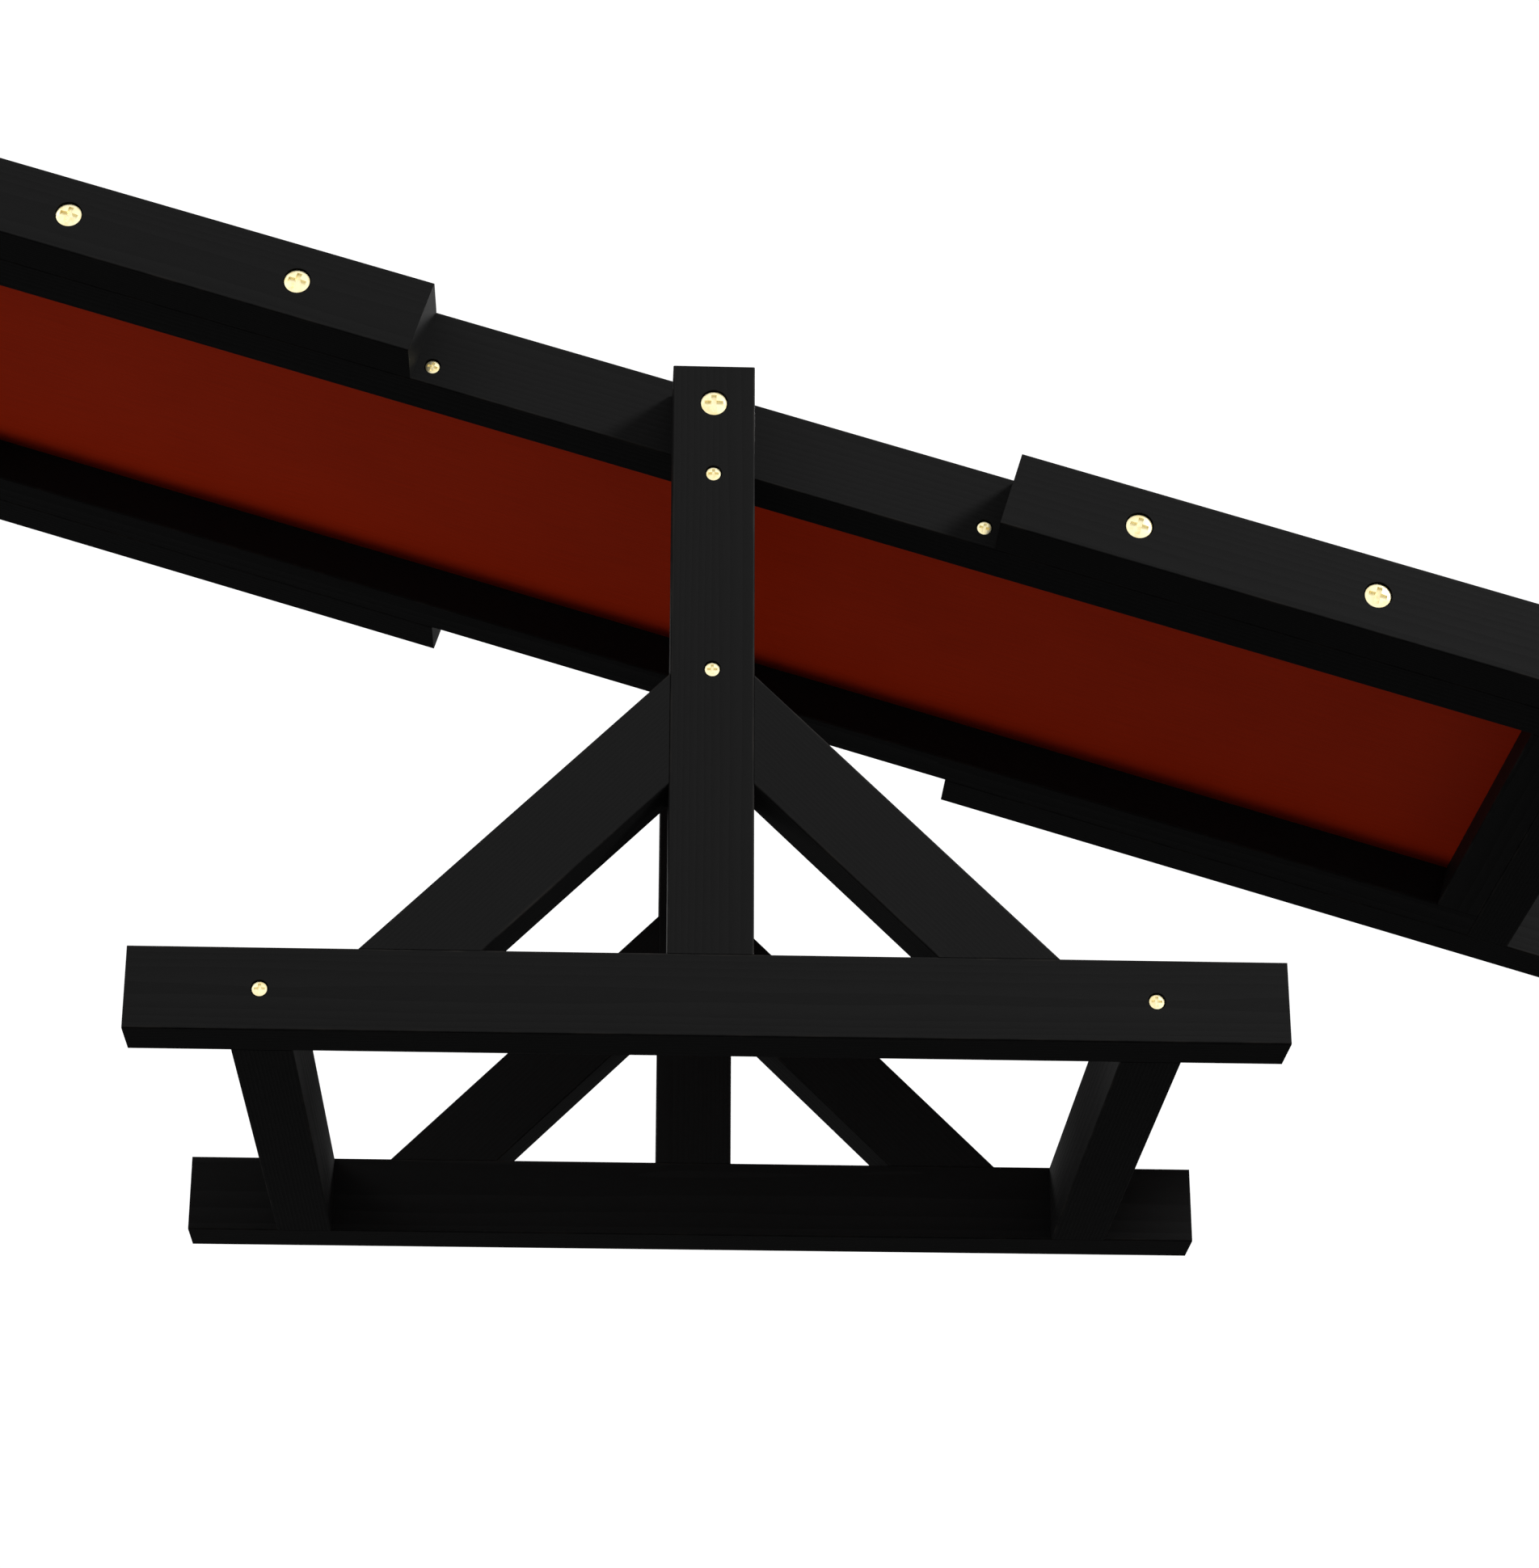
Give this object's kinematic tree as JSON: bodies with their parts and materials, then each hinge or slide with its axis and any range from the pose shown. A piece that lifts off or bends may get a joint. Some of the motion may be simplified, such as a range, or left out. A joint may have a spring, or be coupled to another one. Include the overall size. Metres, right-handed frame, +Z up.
{
  "type": "pivoting springboard",
  "caption": "Padded red board in a black timber frame that tips both ways on a braced timber trestle, with long side plates screwed on and a cross-stretcher as its stop.",
  "frame": {"origin": "on the floor, midway between the two side frames and straight below the pivot", "axes": "+X along the board towards the end that is down at rest, +Y from the front side frame to the rear one, +Z up"},
  "size_m": [1.7609, 0.607, 0.873],
  "materials": {
    "black_timber": "satin black stain with a very faint grain, long edges eased",
    "brass": "polished",
    "steel": "plain turned",
    "red_panel": "matte red paint on plywood",
    "red_vinyl": "fine-grained vinyl, semi-matte",
    "foam": "open foam, hidden inside the cover"
  },
  "bodies": {
    "trestle": {"base_rail_front": "black_timber", "base_rail_rear": "black_timber", "base_crossmember_left": "black_timber", "base_crossmember_right": "black_timber", "post_front": "black_timber", "post_rear": "black_timber", "brace_front_left": "black_timber", "brace_front_right": "black_timber", "brace_rear_left": "black_timber", "brace_rear_right": "black_timber", "stretcher_upper": "black_timber", "stretcher_lower": "black_timber", "base_screw_front_left": "brass", "base_screw_front_right": "brass", "base_screw_rear_left": "brass", "base_screw_rear_right": "brass", "stretcher_upper_screw_front": "brass", "stretcher_upper_screw_rear": "brass", "stretcher_lower_screw_front": "brass", "stretcher_lower_screw_rear": "brass", "pivot_bolt_front": "brass", "pivot_bolt_rear": "brass", "pivot_washer_front": "steel", "pivot_washer_rear": "steel"},
    "board": {"side_rail_front": "black_timber", "side_rail_rear": "black_timber", "end_rail_left": "black_timber", "end_rail_right": "black_timber", "end_cap_left": "black_timber", "end_cap_right": "black_timber", "side_plate_front_left": "black_timber", "side_plate_front_right": "black_timber", "side_plate_rear_left": "black_timber", "side_plate_rear_right": "black_timber", "pivot_bush_front": "brass", "pivot_bush_rear": "brass", "deck_panel": "red_panel", "pad_foam": "foam", "pad_cover": "red_vinyl", "rail_screw_front_left": "brass", "rail_screw_front_right": "brass", "rail_screw_rear_left": "brass", "rail_screw_rear_right": "brass", "plate_screw_front_left_1": "brass", "plate_screw_front_left_2": "brass", "plate_screw_front_left_3": "brass", "plate_screw_front_right_1": "brass", "plate_screw_front_right_2": "brass", "plate_screw_front_right_3": "brass", "plate_screw_rear_left_1": "brass", "plate_screw_rear_left_2": "brass", "plate_screw_rear_left_3": "brass", "plate_screw_rear_right_1": "brass", "plate_screw_rear_right_2": "brass", "plate_screw_rear_right_3": "brass"}
  },
  "joints": [
    {"name": "board_tilt", "type": "hinge", "parent": "trestle", "child": "board", "pos_m": [0, 0, 0.572], "axis": [0, 1, 0], "range_deg": [-34, 0]}
  ]
}
